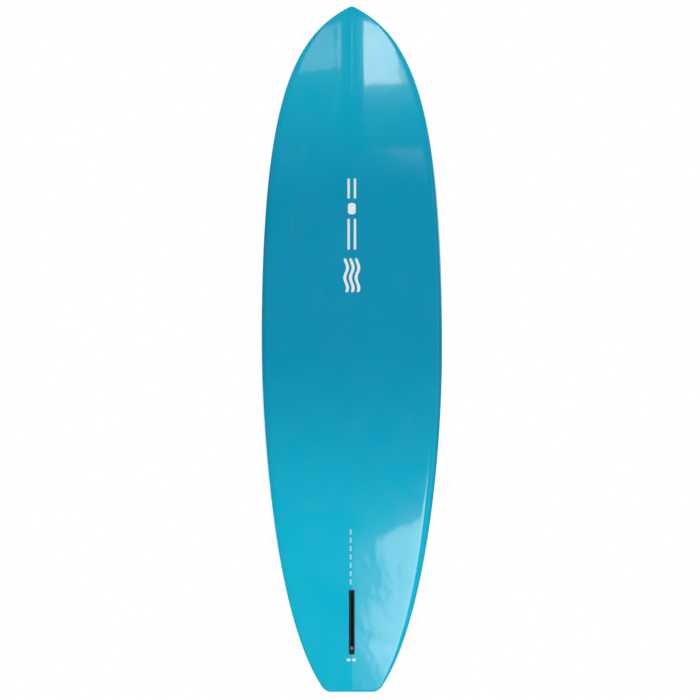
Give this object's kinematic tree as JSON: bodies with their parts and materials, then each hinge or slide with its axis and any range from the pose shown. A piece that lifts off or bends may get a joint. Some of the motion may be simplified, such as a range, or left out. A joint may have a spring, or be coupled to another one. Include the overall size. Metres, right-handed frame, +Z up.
{
  "type": "stand up paddleboard",
  "caption": "Rigid stand up paddleboard: laminated foam sandwich hull with a squash tail, centre fin box, vent, leash plug, carry handle, deck pads and tie-down inserts.",
  "frame": {"origin": "bottom centre of the board's bounding box, on the surface that the keel rests on", "axes": "+X to the nose, +Y to port, +Z up through the deck"},
  "size_m": [3.048, 0.8, 0.1584],
  "materials": {
    "gloss_cyan": "gloss",
    "gloss_white": "gloss",
    "sandwich_foam": "matte",
    "light_foam": "matte",
    "dense_foam": "matte",
    "stringer_wood": "satin",
    "black_plastic": "satin",
    "grey_plastic": "satin",
    "stainless": "satin",
    "brass": "satin",
    "seal_rubber": "matte",
    "pad_foam": "matte",
    "kick_foam": "matte"
  },
  "bodies": {
    "board": {"bottom_skin": "gloss_cyan", "deck_skin": "gloss_white", "bottom_sandwich": "sandwich_foam", "deck_sandwich": "sandwich_foam", "core_port": "light_foam", "core_starboard": "light_foam", "stringer": "stringer_wood", "nose_block": "dense_foam", "tail_block": "dense_foam", "fin_box": "black_plastic", "fin_box_block": "dense_foam", "vent_block": "dense_foam", "vent_housing": "grey_plastic", "leash_block": "dense_foam", "leash_cup": "black_plastic", "leash_bar": "stainless", "handle_block": "dense_foam", "handle_cup": "black_plastic", "handle_grip": "grey_plastic", "handle_screws": "stainless", "deck_pad_front": "pad_foam", "deck_pad_middle": "pad_foam", "deck_pad_rear": "pad_foam", "kick_pad": "kick_foam", "tie_inserts": "brass"},
    "fin_plate": {"fin_plate": "brass"},
    "fin_washer": {"fin_washer": "stainless"},
    "fin_screw": {"fin_screw": "stainless"},
    "vent_seal": {"vent_seal": "seal_rubber"},
    "vent_plug": {"vent_plug": "stainless"}
  },
  "joints": [
    {"name": "fin_plate_slide", "type": "slide", "parent": "board", "child": "fin_plate", "axis": [0.9979, 0, -0.0645], "range_m": [0, 0.2337]},
    {"name": "fin_screw_lift", "type": "slide", "parent": "fin_plate", "child": "fin_washer", "axis": [-0.0645, 0, -0.9979], "range_m": [0, 0.007]},
    {"name": "fin_screw_turn", "type": "hinge", "parent": "fin_washer", "child": "fin_screw", "pos_m": [-1.32938, 0, 0.04743], "axis": [-0.0645, 0, -0.9979], "range_deg": [0, 3620]},
    {"name": "vent_lift", "type": "slide", "parent": "board", "child": "vent_seal", "axis": [0, 0, 1], "range_m": [0, 0.0105]},
    {"name": "vent_turn", "type": "hinge", "parent": "vent_seal", "child": "vent_plug", "pos_m": [0.564, 0.08, 0.13184], "axis": [0, 0, 1], "range_deg": [0, 2532]}
  ],
  "couplings": [
    {"joint": "fin_screw_turn", "follows": "fin_screw_lift", "rad_per_m": 8976},
    {"joint": "vent_turn", "follows": "vent_lift", "rad_per_m": 4188.8}
  ]
}
